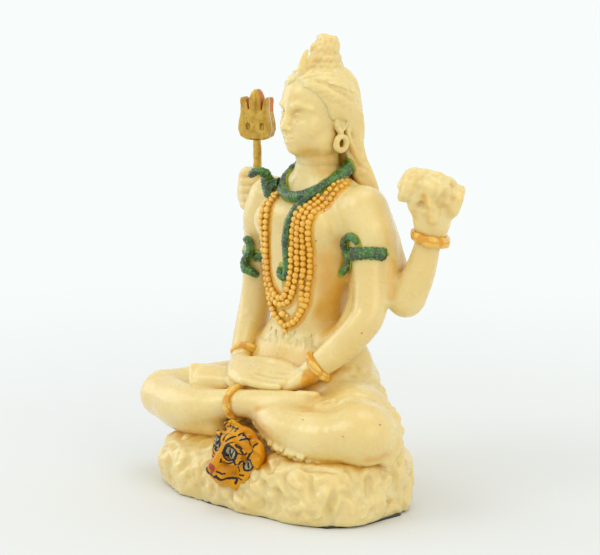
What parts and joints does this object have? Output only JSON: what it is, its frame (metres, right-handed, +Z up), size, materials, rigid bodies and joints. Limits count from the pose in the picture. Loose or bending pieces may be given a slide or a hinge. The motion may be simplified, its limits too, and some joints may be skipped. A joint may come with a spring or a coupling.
{
  "type": "shiva figure",
  "caption": "Cast resin figure of Shiva in full lotus on a rock with a tiger skin, holding a gold metal trident and a drum.",
  "frame": {"origin": "on the flat underside, straight below the middle of the figure's hips, on the surface that the figure stands on", "axes": "+Z up through the figure, the figure faces -Y, its own left hand is towards +X"},
  "size_m": [0.0902, 0.0569, 0.1236],
  "materials": {
    "resin": "satin, cream, slightly translucent",
    "gilt_metal": "worn gold paint over cast metal",
    "felt": "thin dark felt sheet"
  },
  "bodies": {
    "root": {"figure": "resin", "trident": "gilt_metal", "underside_pad": "felt"}
  },
  "joints": []
}
